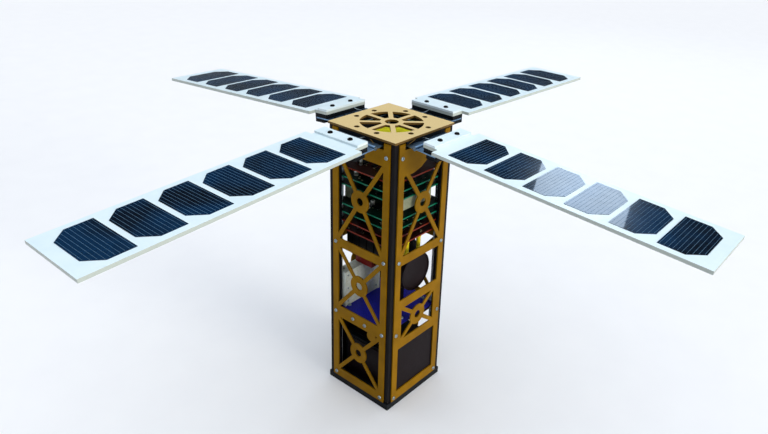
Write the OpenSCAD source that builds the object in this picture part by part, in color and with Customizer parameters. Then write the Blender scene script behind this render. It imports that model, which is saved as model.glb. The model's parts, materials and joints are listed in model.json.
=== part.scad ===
// Three-unit cube satellite with four folding solar wings, millimetres.
// Origin: middle of the underside of the base plate. +Z up, front side faces -Y.

/* [Body] */
// Width of the square body over its side plates
body_w = 100; // [85:1:120]
// Height from the underside of the base to the top of the top plate
body_h = 347.5; // [300:0.5:420]
// Thickness of the black base plate
base_t = 8; // [5:0.5:12]
// Length of each leg of the corner angles
angle_leg = 16; // [12:0.5:20]
// Wall thickness of the corner angles
angle_t = 3; // [2:0.25:4]

/* [Side plates] */
// Thickness of the side plates
plate_t = 1.5; // [1:0.1:2.5]
// Width of black corner left bare beside a side plate
plate_inset = 7.3; // [4:0.1:9]
// Width of the upright strips of a side plate
leg_w = 8.7; // [6:0.1:12]
// Width of the diagonal braces
arm_w = 5; // [3:0.1:8]
// Outer radius of the ring where the braces meet
ring_r = 13.2; // [9:0.1:16]
// Radius of the hole in that ring
ring_hole_r = 4.8; // [2:0.1:7]
// Distance from the top plate down to the top cross strip
top_strip_drop = 8.9; // [8.5:0.1:14]
// Height of the top cross strip
top_strip_h = 18.6; // [8:0.1:24]
// Middle height of the cross strip under the board stack
high_strip_z = 202; // [180:0.5:230]
// Height of the cross strip under the board stack
high_strip_h = 11.4; // [6:0.1:16]
// Middle height of the low cross strip on the braced sides
low_strip_z = 106.4; // [90:0.1:130]
// Height of the low cross strip on the braced sides
low_strip_h = 15.8; // [8:0.1:20]
// Middle height of the strip over the small braced window
mid_strip_z = 143.8; // [130:0.1:160]
// Middle height of the strip under the small braced window
foot_strip_z = 88; // [75:0.1:100]
// Height of the two strips around the small braced window
window_strip_h = 11.8; // [6:0.1:16]
// Height of the bottom strip
bottom_strip_h = 12; // [6:0.1:18]
// Half width of the small braced window
small_window_hw = 29.8; // [20:0.1:33]
// Radius of the round ear under the low cross strip
ear_r = 7; // [3:0.1:10]

/* [Top plate] */
// Thickness of the top plate
top_t = 2.5; // [1.5:0.1:4]
// Width of plain plate between the body side and the wheel-shaped cut-out
wheel_rim = 14; // [12.5:0.1:20]
// Radius of the hub in the cut-out
hub_r = 13.5; // [9:0.1:18]
// Radius of the hole in the hub
hub_hole_r = 7.8; // [3:0.1:10]
// Width of the spokes
spoke_w = 5.4; // [3:0.1:8]
// Radius of the eight hinge screw holes
screw_hole_r = 2.2; // [1.2:0.1:2.7]
// Half the distance between two hinge screw holes
screw_half = 14.6; // [8:0.1:20]
// Distance of the hinge screw holes from the body side
screw_inset = 9.5; // [8:0.1:11]

/* [Hinges] */
// Distance of the hinge axis outside the body side
hinge_out = 10; // [9:0.1:14]
// Depth of the hinge axis under the top of the top plate
hinge_drop = 7.5; // [6:0.1:9]
// Gap between a hinge end and the corner angle or upright beside it
hinge_end_gap = 0.5; // [0.3:0.1:8]
// Radius of the hinge knuckles
knuckle_r = 2.6; // [2:0.1:3.5]
// Radius of the hinge pin
pin_r = 1.2; // [0.8:0.05:1.5]
// Thickness of the hinge leaves
leaf_t = 1.2; // [0.8:0.1:1.6]
// Radial clearance of the pin in the moving knuckles
pin_clear = 0.05; // [0.02:0.01:0.1]
// Sag of the front wing in degrees
front_sag = 4.0; // [0:0.1:8]
// Sag of the right wing in degrees
right_sag = 4.0; // [0:0.1:8]
// Sag of the back wing in degrees
back_sag = 1.4; // [0:0.1:8]
// Sag of the left wing in degrees
left_sag = 3.9; // [0:0.1:8]

/* [Wings] */
// Length of a wing board from its tab to its tip
wing_l = 302; // [260:1:310]
// Width of a wing board
wing_w = 82; // [60:0.5:90]
// Thickness of a wing board
wing_t = 3.5; // [2:0.1:5]
// Distance from the hinge axis to the inner end of the tab
tab_gap = 11; // [8:0.1:14]
// Length of the narrow tab
tab_l = 18.5; // [14:0.1:24]
// Step from the end of the hinge to the side of the tab
tab_step = 0.5; // [0:0.1:10]
// Length of the pad on the tab
pad_l = 14.7; // [10:0.1:18]
// Thickness of the pad on the tab
pad_t = 2.4; // [1:0.1:4]
// Height of the board underside over the hinge axis
board_lift = 5.5; // [4:0.1:7]
// Depth of the black clamp block under the leaf
clamp_drop = 4.4; // [2:0.1:4.6]

/* [Solar cells] */
// Size of a cell across the wing
cell_w = 67; // [50:0.5:76]
// Size of a cell along the wing
cell_l = 37.9; // [30:0.1:42]
// Distance from one cell to the next
cell_pitch = 43.7; // [38:0.1:46]
// Distance from the hinge axis to the first cell
cell_start = 44.4; // [38:0.1:60]
// Cropped corner of a cell
cell_crop = 13.6; // [6:0.1:18]
// Thickness of a cell
cell_t = 0.4; // [0.2:0.1:1]

/* [Board stack] */
// Gap between the boards and the corner angles
board_gap = 1; // [0.5:0.1:4]
// Thickness of the boards
board_t = 1.6; // [1:0.1:2.4]
// Distance of the stack rods from the body sides
rod_inset = 10.5; // [8:0.1:14]
// Radius of the stack rods
rod_r = 1.5; // [1:0.1:2]
// Radial clearance of the rods in the boards
rod_clear = 0.1; // [0.05:0.01:0.2]
// Height of the lowest board
stack_z = 218.2; // [214:0.1:224]

/* [Payload] */
// Radius of the round black drum
drum_r = 24.3; // [16:0.1:29.5]
// Depth of the round black drum
drum_l = 30; // [16:0.5:34]
// Height of the drum axis
drum_z = 171.5; // [165:0.1:174]
// Sideways place of the drum axis
drum_y = 2.3; // [-4:0.1:4]
// Height of the blue deck underside
deck_z = 109.4; // [106:0.1:112]
// Height of the aluminium box
box_h = 48; // [30:0.5:60]
// Radius of the yellow reel under the top plate
reel_r = 21.5; // [14:0.1:26]
// Sideways place of the reel, towards the right side
reel_x = -3; // [-6:0.1:6]
// Place of the reel towards the back side
reel_y = 4; // [-6:0.1:6]
// Thickness of the black panels in the bottom bay
panel_t = 1.5; // [1:0.1:2.5]
// Gap between a panel and the corner angles
panel_gap = 0.5; // [0.3:0.1:2]

/* [Hidden] */
half = body_w / 2;
face = half - plate_t;
inner = face - angle_t;
top_z = body_h - top_t;
hinge_z = body_h - hinge_drop;
leg_hw = half - plate_inset;
win_hw = leg_hw - leg_w;
leg_top = top_z - 1.5;
strip_top = top_z - top_strip_drop;
top_strip_z = strip_top - top_strip_h / 2;
wheel_r = half - wheel_rim;
screw_row = half - screw_inset;
hinge_r = half + hinge_out;
hinge_w = 2 * (min(face - angle_leg, win_hw) - hinge_end_gap);
tab_w = hinge_w - 2 * tab_step;
tab_screw = tab_gap + 8;
board_w = 2 * (inner - board_gap);
rod_at = half - rod_inset;
red_boards = [stack_z, stack_z + 10.8, stack_z + 78.6];
green_boards = [stack_z + 21.5, stack_z + 32, stack_z + 56.5, stack_z + 66.2];
bore_r = rod_r + rod_clear;
drum_face = half - 7;
deck_top = deck_z + board_t;
reel_top = top_z - 11;
reel_h = 13.6;
$fn = 48;

// a box centred in x and y
module slab(x, y, z0, h) translate([-x / 2, -y / 2, z0]) cube([x, y, h]);

// a straight brace between two points of a flat drawing
module brace(a, b) {
  d = b - a;
  translate(a) rotate(atan2(d[1], d[0])) translate([0, -arm_w / 2]) square([norm(d), arm_w]);
}

// four copies around the body axis, the first on the front side
module four_sides() for (k = [0:3]) rotate([0, 0, 90 * k]) children();

// diagonal braces and ring in a window from z0 to z1
module crossing(hw, z0, z1, zc) {
  difference() {
    union() {
      for (s = [-1, 1], z = [z0, z1]) intersection() {
        brace([0, zc], [s * (hw + 3), z + (z > zc ? 3 : -3)]);
        translate([-hw - 1, z0 - 1]) square([2 * hw + 2, z1 - z0 + 2]);
      }
      translate([0, zc]) circle(ring_r);
    }
    translate([0, zc]) circle(ring_hole_r);
  }
}

// a cross strip between the two uprights
module strip(zc, h) translate([-leg_hw, zc - h / 2]) square([2 * leg_hw, h]);

// the two uprights, the top strip and the bottom strip
module plate_frame() {
  for (s = [-1, 1]) translate([s * (leg_hw - leg_w / 2) - leg_w / 2, base_t])
    square([leg_w, leg_top - base_t]);
  strip(top_strip_z, top_strip_h);
  strip(high_strip_z, high_strip_h);
  strip(base_t + bottom_strip_h / 2, bottom_strip_h);
}

module stand_up(t) translate([0, -half + t, 0]) rotate([90, 0, 0]) linear_extrude(t) children();

// side plate with three crossed windows
module braced_plate() stand_up(plate_t) {
  plate_frame();
  strip(low_strip_z, low_strip_h);
  translate([21.3, low_strip_z - 11.5]) circle(ear_r);
  crossing(win_hw, high_strip_z + high_strip_h / 2, top_strip_z - top_strip_h / 2, high_strip_z + 63);
  crossing(win_hw, low_strip_z + low_strip_h / 2, high_strip_z - high_strip_h / 2, low_strip_z + 49);
  crossing(win_hw, base_t + bottom_strip_h, low_strip_z - low_strip_h / 2, low_strip_z - 46.5);
}

// side plate with open windows and one small crossed window
module window_plate() stand_up(plate_t) {
  z0 = foot_strip_z + window_strip_h / 2;
  z1 = mid_strip_z - window_strip_h / 2;
  difference() {
    union() {
      plate_frame();
      translate([-leg_hw, foot_strip_z - window_strip_h / 2])
        square([2 * leg_hw, mid_strip_z - foot_strip_z + window_strip_h]);
    }
    translate([-small_window_hw, z0]) square([2 * small_window_hw, z1 - z0]);
  }
  polygon([[-win_hw - 1, strip_top - 6], [-win_hw - 1, strip_top - 30.6],
           [-19, strip_top - 30], [-6, strip_top - 26.5], [7, strip_top - 18]]);
  crossing(win_hw, high_strip_z + high_strip_h / 2, top_strip_z - top_strip_h / 2, high_strip_z + 63);
  crossing(small_window_hw, z0, z1, (z0 + z1) / 2);
}

// black base with four screw holes
module base_plate() color("#16181b") difference() {
  slab(body_w, body_w, 0, base_t);
  for (x = [-1, 1], y = [-1, 1]) translate([x * 30, y * 30, -1]) cylinder(r = 2.2, h = base_t + 2);
}

// black angles that stand on the base at the corners
module corner_angles() color("#131416") four_sides() difference() {
  translate([-face, -face, base_t]) cube([angle_leg, angle_leg, top_z - base_t]);
  translate([-inner, -inner, base_t - 1]) cube([body_w, body_w, body_h]);
}

module front_plate() color("#9a6a12") braced_plate();
module right_plate() color("#9a6a12") rotate([0, 0, 90]) window_plate();
module back_plate() color("#9a6a12") rotate([0, 0, 180]) braced_plate();
module left_plate() color("#9a6a12") rotate([0, 0, 270]) braced_plate();

// thin top plate with its wheel-shaped cut-out
module top_plate() color("#d2bc84") difference() {
  slab(body_w, body_w, top_z, top_t);
  translate([0, 0, top_z - 1]) difference() {
    cylinder(r = wheel_r, h = top_t + 2, $fn = 96);
    translate([0, 0, -1]) cylinder(r = hub_r, h = top_t + 4);
    for (k = [0:3]) rotate([0, 0, 45 * k]) translate([-wheel_r - 1, -spoke_w / 2, -1])
      cube([2 * wheel_r + 2, spoke_w, top_t + 4]);
  }
  translate([0, 0, top_z - 1]) cylinder(r = hub_hole_r, h = top_t + 2);
  four_sides() for (s = [-1, 1]) translate([s * screw_half, -screw_row, top_z - 1])
    cylinder(r = screw_hole_r, h = top_t + 2);
}

// black bars that space the hinges off the top plate
module hinge_bars() color("#15171a") four_sides() difference() {
  translate([-hinge_w / 2, -half, hinge_z + leaf_t / 2])
    cube([hinge_w, half - wheel_r - 0.5, top_z - hinge_z - leaf_t / 2]);
  for (s = [-1, 1]) translate([s * screw_half, -screw_row, hinge_z])
    cylinder(r = screw_hole_r, h = top_z);
}

// knuckle lengths along the hinge: fixed outer and middle ones, moving ones between
seg = hinge_w / 5;
module knuckles(list, bore) difference() {
  union() for (i = list) translate([-hinge_w / 2 + i * seg + 0.2, 0, 0]) {
    rotate([0, 90, 0]) cylinder(r = knuckle_r, h = seg - 0.4);
    if (bore == pin_r) translate([0, 0, -leaf_t / 2]) cube([seg - 0.4, 4, leaf_t]);
    if (bore > pin_r) translate([0, -4, -leaf_t / 2]) cube([seg - 0.4, 4, leaf_t]);
  }
  translate([-hinge_w / 2 - 1, 0, 0]) rotate([0, 90, 0]) cylinder(r = bore, h = hinge_w + 2);
}

// steel leaves under the hinge bars
module fixed_leaves() color("#8fa4b2") four_sides() difference() {
  translate([0, -hinge_r, hinge_z]) union() {
    translate([-hinge_w / 2, 3.4, -leaf_t / 2]) cube([hinge_w, hinge_r - wheel_r - 4, leaf_t]);
    knuckles([0, 2, 4], pin_r);
  }
  for (s = [-1, 1]) translate([s * screw_half, -screw_row, hinge_z - 5])
    cylinder(r = screw_hole_r, h = 10);
}

module hinge_pins() color("#b9c2c8") four_sides()
  translate([-hinge_w / 2, -hinge_r, hinge_z]) rotate([0, 90, 0]) cylinder(r = pin_r, h = hinge_w);

// one wing's place: side k, sagging by an angle about its hinge
module on_hinge(k, sag) rotate([0, 0, 90 * k]) translate([0, -hinge_r, hinge_z])
  rotate([sag, 0, 0]) children();

module wing_board(k, sag) color("#e8f4f6") on_hinge(k, sag)
  translate([0, 0, board_lift]) linear_extrude(wing_t) difference() {
    union() {
      translate([-tab_w / 2, -tab_gap - tab_l - 1]) square([tab_w, tab_l + 1]);
      translate([-wing_w / 2, -tab_gap - wing_l]) square([wing_w, wing_l - tab_l]);
    }
    for (s = [-1, 1]) translate([s * screw_half, -tab_screw]) circle(screw_hole_r);
  }

module wing_pad(k, sag) color("#e8f4f6") on_hinge(k, sag)
  translate([0, 0, board_lift + wing_t]) linear_extrude(pad_t) difference() {
    translate([-tab_w / 2, -tab_gap - pad_l]) square([tab_w, pad_l]);
    for (s = [-1, 1]) translate([s * screw_half, -tab_screw]) circle(screw_hole_r);
  }

module wing_cells(k, sag) color("#0b2236") on_hinge(k, sag)
  translate([0, 0, board_lift + wing_t]) linear_extrude(cell_t) for (i = [0:5])
    translate([0, -cell_start - i * cell_pitch]) polygon([[-cell_w / 2, 0], [cell_w / 2, 0],
      [cell_w / 2, -cell_l + cell_crop], [cell_w / 2 - cell_crop, -cell_l],
      [-cell_w / 2 + cell_crop, -cell_l], [-cell_w / 2, -cell_l + cell_crop]]);

module wing_leaf(k, sag) color("#8fa4b2") on_hinge(k, sag) difference() {
  union() {
    translate([-hinge_w / 2, -28, -leaf_t / 2]) cube([hinge_w, 24.6, leaf_t]);
    knuckles([1, 3], pin_r + pin_clear);
  }
  for (s = [-1, 1]) translate([s * screw_half, -tab_screw, -5]) cylinder(r = screw_hole_r, h = 10);
}

// black blocks that clamp the leaf under the board
module wing_clamp(k, sag) color("#15171a") on_hinge(k, sag) difference() {
  union() {
    translate([-tab_w / 2, -28, leaf_t / 2]) cube([tab_w, 16, board_lift - leaf_t / 2]);
    translate([-tab_w / 2, -28, -leaf_t / 2 - clamp_drop]) cube([tab_w, 12, clamp_drop]);
    translate([-tab_w / 2, -30, -leaf_t / 2 - clamp_drop]) cube([tab_w, 2, board_lift + leaf_t / 2 + clamp_drop]);
  }
  for (s = [-1, 1]) translate([s * screw_half, -tab_screw, -10]) cylinder(r = screw_hole_r, h = 20);
}

module front_wing() wing_board(0, front_sag);
module right_wing() wing_board(1, right_sag);
module back_wing() wing_board(2, back_sag);
module left_wing() wing_board(3, left_sag);
module front_pad() wing_pad(0, front_sag);
module right_pad() wing_pad(1, right_sag);
module back_pad() wing_pad(2, back_sag);
module left_pad() wing_pad(3, left_sag);
module front_cells() wing_cells(0, front_sag);
module right_cells() wing_cells(1, right_sag);
module back_cells() wing_cells(2, back_sag);
module left_cells() wing_cells(3, left_sag);
module front_leaf() wing_leaf(0, front_sag);
module right_leaf() wing_leaf(1, right_sag);
module back_leaf() wing_leaf(2, back_sag);
module left_leaf() wing_leaf(3, left_sag);
module front_clamp() wing_clamp(0, front_sag);
module right_clamp() wing_clamp(1, right_sag);
module back_clamp() wing_clamp(2, back_sag);
module left_clamp() wing_clamp(3, left_sag);

// threaded rods from the base to the top plate
module stack_rods() color("#c4c8ca") four_sides()
  translate([-rod_at, -rod_at, base_t]) cylinder(r = rod_r, h = top_z - base_t);

// square board with a hole for each rod
module board(z) difference() {
  slab(board_w, board_w, z, board_t);
  for (x = [-1, 1], y = [-1, 1]) translate([x * rod_at, y * rod_at, z - 1])
    cylinder(r = bore_r, h = board_t + 2);
}

module red_boards() color("#4a1410") for (z = red_boards) board(z);
module green_boards() color("#0d4a34") for (z = green_boards) board(z);

// beige plug blocks between the middle green boards
module connector_blocks() color("#8f9278") {
  z0 = green_boards[1] + board_t;
  translate([board_w / 2 - 10.5, -34, green_boards[2] - 13.6]) cube([9.6, 56, 13.6]);
  translate([-board_w / 2 + 1.5, -30, z0]) cube([8, 60, green_boards[2] - z0]);
}

// yellow spooled tape on a stub over the top board
module antenna_reel() color("#c8c81e") translate([reel_x, reel_y, 0]) {
  translate([0, 0, red_boards[2] + board_t]) cylinder(r = 7, h = reel_top - red_boards[2] - board_t);
  translate([0, 0, reel_top - reel_h]) cylinder(r = reel_r, h = reel_h);
}

// round black drum that looks out of the right side
module drum() color("#171113") translate([drum_face - drum_l, drum_y, drum_z]) rotate([0, 90, 0])
  difference() {
    cylinder(r = drum_r, h = drum_l, $fn = 96);
    translate([0, 0, drum_l - 1]) cylinder(r = drum_r - 1.5, h = 2, $fn = 96);
  }

// black plate that carries the drum on the deck
module drum_bracket() color("#141416")
  translate([drum_face - drum_l - 4, drum_y - 15, deck_top]) cube([4, 30, drum_z + 12 - deck_top]);

// posts that hang from the lowest board over the drum
module yellow_posts() color("#c8b41e") for (y = [-11, 10]) {
  z0 = drum_z + drum_r + 0.7;
  translate([38, y, z0]) cylinder(r = 2.6, h = stack_z - z0);
}

// light box standing on the deck at the left
module aluminium_box() color("#9aa2a4") difference() {
  translate([-board_w / 2 + 1.5, -board_w / 2 + 1.5, deck_top]) cube([13.5, 60, box_h]);
  translate([-rod_at - 20, -rod_at - 20, deck_z]) cube([23.5, 23.5, box_h + 12]);
}

module red_module() color("#521010")
  translate([-board_w / 2 + 3.5, -13.5, deck_top + box_h]) cube([27, 30, 15]);

// blue deck with cut corners
module blue_deck() color("#11116a") difference() {
  translate([0, 0, deck_z]) linear_extrude(board_t) difference() {
    square(board_w, center = true);
    for (k = [0:3]) rotate(90 * k) translate([board_w / 2, board_w / 2]) rotate(45)
      square([9, 40], center = true);
  }
  for (x = [-1, 1], y = [-1, 1]) translate([x * rod_at, y * rod_at, deck_z - 1])
    cylinder(r = bore_r, h = board_t + 2);
}

// black box in the bottom bay
module battery_box() color("#121317") slab(70, 70, base_t, 60);

// flat black panels behind the lowest windows of the right and left sides
module bay_panels() color("#17131a") {
  w = 2 * (face - angle_leg - panel_gap);
  translate([face - panel_t, -w / 2, base_t]) cube([panel_t, w, foot_strip_z - base_t]);
  translate([-face, -w / 2, base_t]) cube([panel_t, w, low_strip_z - base_t]);
}

base_plate();
corner_angles();
front_plate();
right_plate();
back_plate();
left_plate();
top_plate();
hinge_bars();
fixed_leaves();
hinge_pins();
stack_rods();
red_boards();
green_boards();
connector_blocks();
antenna_reel();
drum();
drum_bracket();
yellow_posts();
aluminium_box();
red_module();
blue_deck();
battery_box();
bay_panels();
front_wing();
front_pad();
front_cells();
front_leaf();
front_clamp();
right_wing();
right_pad();
right_cells();
right_leaf();
right_clamp();
back_wing();
back_pad();
back_cells();
back_leaf();
back_clamp();
left_wing();
left_pad();
left_cells();
left_leaf();
left_clamp();
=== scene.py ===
import json
import math
import random
import bpy
import bmesh
from mathutils import Matrix, Vector


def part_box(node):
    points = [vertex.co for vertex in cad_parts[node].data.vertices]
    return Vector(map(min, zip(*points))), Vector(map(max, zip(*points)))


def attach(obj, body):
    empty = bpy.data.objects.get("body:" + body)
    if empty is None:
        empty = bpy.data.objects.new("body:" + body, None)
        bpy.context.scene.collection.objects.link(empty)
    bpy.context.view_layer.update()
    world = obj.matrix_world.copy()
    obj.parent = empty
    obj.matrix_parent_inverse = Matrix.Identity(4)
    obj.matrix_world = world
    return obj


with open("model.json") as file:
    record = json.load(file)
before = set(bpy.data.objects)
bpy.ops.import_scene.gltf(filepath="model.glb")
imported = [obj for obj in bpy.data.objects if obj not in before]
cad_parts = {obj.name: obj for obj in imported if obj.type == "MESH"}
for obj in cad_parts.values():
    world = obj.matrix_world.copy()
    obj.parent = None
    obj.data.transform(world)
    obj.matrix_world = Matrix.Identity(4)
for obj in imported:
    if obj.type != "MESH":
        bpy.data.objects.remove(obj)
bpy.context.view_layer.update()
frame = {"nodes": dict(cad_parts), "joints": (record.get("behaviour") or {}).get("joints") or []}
nodes = frame["nodes"]
mm = 0.001
print("frame loaded:", len(nodes), "nodes")


# helpers for colours, nodes and meshes
def toLinear(hexColor):   # "#rrggbb" in sRGB to linear rgba
    parts = [int(hexColor[i:i + 2], 16) / 255 for i in (1, 3, 5)]
    return tuple(c / 12.92 if c <= 0.04045 else ((c + 0.055) / 1.055) ** 2.4 for c in parts) + (1.0,)


# one node with its settings, then its inputs: a value or a socket
def addNode(tree, kind, inputs=None, out=0, **settings):
    node = tree.nodes.new(kind)
    for key, value in settings.items():
        setattr(node, key, value)
    for key, value in (inputs or {}).items():
        if isinstance(value, bpy.types.NodeSocket):
            tree.links.new(value, node.inputs[key])
        else:
            node.inputs[key].default_value = value
    return node.outputs[out] if node.outputs else node


def perMm(size):   # texture scale for a pattern of this size, object coordinates being metres
    return 1000.0 / size


# a shader with its uniform numbers on its own sockets, and object coordinates
def newMaterial(name, **shaderValues):
    material = bpy.data.materials.new(name)
    material.use_nodes = True
    tree = material.node_tree
    tree.nodes.clear()
    surface = addNode(tree, "ShaderNodeBsdfPrincipled", {k.replace("_", " "): v for k, v in shaderValues.items()})
    addNode(tree, "ShaderNodeOutputMaterial", {"Surface": surface})
    place = addNode(tree, "ShaderNodeTexCoord", out="Object")
    return material, tree, surface.node, place


def feed(tree, shader, **sockets):   # links finished sockets to the shader
    for name, socket in sockets.items():
        tree.links.new(socket, shader.inputs[name.replace("_", " ")])


def sawnEdge(tree):   # one where a sheet's edge stands upright, nothing on its flat faces
    normal = addNode(tree, "ShaderNodeTexCoord", out="Normal")
    rise = addNode(tree, "ShaderNodeSeparateXYZ", {"Vector": normal}, out="Z")
    upward = addNode(tree, "ShaderNodeMath", {0: rise}, operation="ABSOLUTE")
    return addNode(tree, "ShaderNodeMapRange", {0: upward, 1: 0.75, 2: 0.45})


def ripples(tree, along, sizeMm):   # a wave of this size along a distance in metres
    phase = addNode(tree, "ShaderNodeMath", {0: along, 1: perMm(sizeMm) * math.tau}, operation="MULTIPLY")
    return addNode(tree, "ShaderNodeMath", {0: phase}, operation="SINE")


# materials, each from the real finish
goldSheet = {"gold": "#8b6402", "shade": "#7c5802", "rub": "#966f0c", "grainMm": 0.35, "cloudMm": 26,
             "rubMm": 4}


def makeGoldSheet():
    # gold anodised aluminium, rolled then dyed: a satin ochre with faint upright rolling lines and cloudy dye
    look = goldSheet
    material, tree, shader, place = newMaterial("goldAnodisedSheet", Metallic=0.12, Roughness=0.42,
                                                Specular_IOR_Level=0.04)
    cloud = addNode(tree, "ShaderNodeTexNoise", {"Vector": place, "Scale": perMm(look["cloudMm"]), "Detail": 5.0})
    tone = addNode(tree, "ShaderNodeMapRange", {0: cloud, 1: 0.35, 2: 0.65})
    base = addNode(tree, "ShaderNodeMix", {0: tone, 6: toLinear(look["shade"]), 7: toLinear(look["gold"])}, out=2,
                   data_type="RGBA")
    rubbed = addNode(tree, "ShaderNodeTexNoise", {"Vector": place, "Scale": perMm(look["rubMm"]), "Detail": 8.0,
                                                  "Roughness": 0.7})
    wear = addNode(tree, "ShaderNodeMapRange", {0: rubbed, 1: 0.62, 2: 0.78, 4: 0.5})
    color = addNode(tree, "ShaderNodeMix", {0: wear, 6: base, 7: toLinear(look["rub"])}, out=2, data_type="RGBA")
    stretch = addNode(tree, "ShaderNodeMapping", {"Vector": place, "Scale": (1.0, 1.0, 0.04)})
    grain = addNode(tree, "ShaderNodeTexNoise", {"Vector": stretch, "Scale": perMm(look["grainMm"]), "Detail": 3.0})
    gloss = addNode(tree, "ShaderNodeMapRange", {0: grain, 1: 0.3, 2: 0.7, 3: 0.36, 4: 0.5})
    bump = addNode(tree, "ShaderNodeBump", {"Height": grain, "Strength": 0.12, "Distance": 0.0001})
    feed(tree, shader, Base_Color=color, Roughness=gloss, Normal=bump)
    return material


tanBoard = {"face": "#d8c18a", "fleck": "#ccb274", "edge": "#6a4f20", "fibreMm": 1.1}


def makeTanBoard():
    # laser-cut hardboard under matt tan paint: a fine fibre fleck on the face and a darker brown on its upright cut
    # edges
    look = tanBoard
    material, tree, shader, place = newMaterial("tanPaintedHardboard", Roughness=0.62, IOR=1.5,
                                                Specular_IOR_Level=0.25)
    fibre = addNode(tree, "ShaderNodeTexNoise", {"Vector": place, "Scale": perMm(look["fibreMm"]), "Detail": 6.0,
                                                 "Roughness": 0.65})
    fleck = addNode(tree, "ShaderNodeMapRange", {0: fibre, 1: 0.45, 2: 0.72, 4: 0.8})
    face = addNode(tree, "ShaderNodeMix", {0: fleck, 6: toLinear(look["face"]), 7: toLinear(look["fleck"])}, out=2,
                   data_type="RGBA")
    cut = sawnEdge(tree)
    color = addNode(tree, "ShaderNodeMix", {0: cut, 6: face, 7: toLinear(look["edge"])}, out=2, data_type="RGBA")
    gloss = addNode(tree, "ShaderNodeMapRange", {0: fibre, 1: 0.3, 2: 0.7, 3: 0.55, 4: 0.72})
    bump = addNode(tree, "ShaderNodeBump", {"Height": fibre, "Strength": 0.2, "Distance": 0.00015})
    feed(tree, shader, Base_Color=color, Roughness=gloss, Normal=bump)
    return material


darkFinishes = {   # colour, paler rub, roughness, speck size in mm, bump
    "blackAnodisedAngle": ("#0d0b0d", "#1b181a", 0.42, 1.2, 0.10),
    "blackMouldedBase": ("#15181c", "#24292e", 0.55, 0.8, 0.30),
    "blackMouldedNylon": ("#0f1215", "#1d2126", 0.50, 0.6, 0.25),
    "blackPowderCoat": ("#140c0f", "#1f1619", 0.42, 0.9, 0.20),
    "blackEpoxyChip": ("#0c0d0f", "#17191c", 0.45, 0.25, 0.15),
}
handSmearMm = 18   # marks left by handling


def makeDark(name):
    # dyed, moulded or coated black: nearly even, with a fine speck, a few paler rubs and uneven gloss
    dark, pale, rough, speckMm, depth = darkFinishes[name]
    material, tree, shader, place = newMaterial(name, Roughness=rough, IOR=1.5, Specular_IOR_Level=0.07)
    speck = addNode(tree, "ShaderNodeTexNoise", {"Vector": place, "Scale": perMm(speckMm), "Detail": 6.0,
                                                 "Roughness": 0.6})
    smear = addNode(tree, "ShaderNodeTexNoise", {"Vector": place, "Scale": perMm(handSmearMm), "Detail": 8.0,
                                                 "Roughness": 0.7})
    rub = addNode(tree, "ShaderNodeMapRange", {0: smear, 1: 0.5, 2: 0.78})
    color = addNode(tree, "ShaderNodeMix", {0: rub, 6: toLinear(dark), 7: toLinear(pale)}, out=2, data_type="RGBA")
    gloss = addNode(tree, "ShaderNodeMapRange", {0: smear, 1: 0.3, 2: 0.7, 3: rough - 0.07, 4: rough + 0.1})
    bump = addNode(tree, "ShaderNodeBump", {"Height": speck, "Strength": depth, "Distance": 0.0001})
    feed(tree, shader, Base_Color=color, Roughness=gloss, Normal=bump)
    return material


metalFinishes = {   # colour, darker tone, roughness, grain size in mm, stretch of the grain
    # the blue in both tones of the hinge steel is a painted reflection of the sky
    "brushedHingeSteel": ("#7d9cba", "#577795", 0.34, 0.30, (0.05, 0.05, 1.0)),
    "zincPlatedSteel": ("#aab9c2", "#74838d", 0.28, 0.8, (1.0, 1.0, 1.0)),
    "springBrass": ("#8a6d3a", "#5f4a26", 0.35, 0.5, (1.0, 1.0, 1.0)),
    "tinnedPin": ("#b9bcb8", "#8c8f8b", 0.30, 0.4, (1.0, 1.0, 1.0)),
}
dullPatchMm = 9


def makeMetal(name):
    # bare or plated metal: coloured reflections broken up by its grain, with duller patches from handling
    bright, dull, rough, grainMm, stretch = metalFinishes[name]
    material, tree, shader, place = newMaterial(name, Metallic=1.0, Roughness=rough)
    drawn = addNode(tree, "ShaderNodeMapping", {"Vector": place, "Scale": stretch})
    grain = addNode(tree, "ShaderNodeTexNoise", {"Vector": drawn, "Scale": perMm(grainMm), "Detail": 4.0})
    patch = addNode(tree, "ShaderNodeTexNoise", {"Vector": place, "Scale": perMm(dullPatchMm), "Detail": 6.0,
                                                 "Roughness": 0.65})
    dulled = addNode(tree, "ShaderNodeMapRange", {0: patch, 1: 0.42, 2: 0.7})
    color = addNode(tree, "ShaderNodeMix", {0: dulled, 6: toLinear(bright), 7: toLinear(dull)}, out=2,
                    data_type="RGBA")
    both = addNode(tree, "ShaderNodeMath", {0: grain, 1: patch}, operation="ADD")
    gloss = addNode(tree, "ShaderNodeMapRange", {0: both, 1: 0.7, 2: 1.3, 3: rough - 0.08, 4: rough + 0.16})
    bump = addNode(tree, "ShaderNodeBump", {"Height": grain, "Strength": 0.15, "Distance": 0.00008})
    feed(tree, shader, Base_Color=color, Roughness=gloss, Normal=bump)
    return material


boardFinishes = {   # mask, mask over copper, bare edge of the laminate, width in mm of the tracks
    "redSolderMask": ("#240907", "#37100c", "#7a2410", 1.4),
    "greenSolderMask": ("#04241a", "#083226", "#0c7556", 1.4),
    "blueSolderMask": ("#12158c", "#1a1ea4", "#0e1060", 2.2),
}
glassWeaveMm = 0.6
trackPhase = 12.0   # radians of the wave that draws the tracks, over one unit of the pattern


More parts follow.
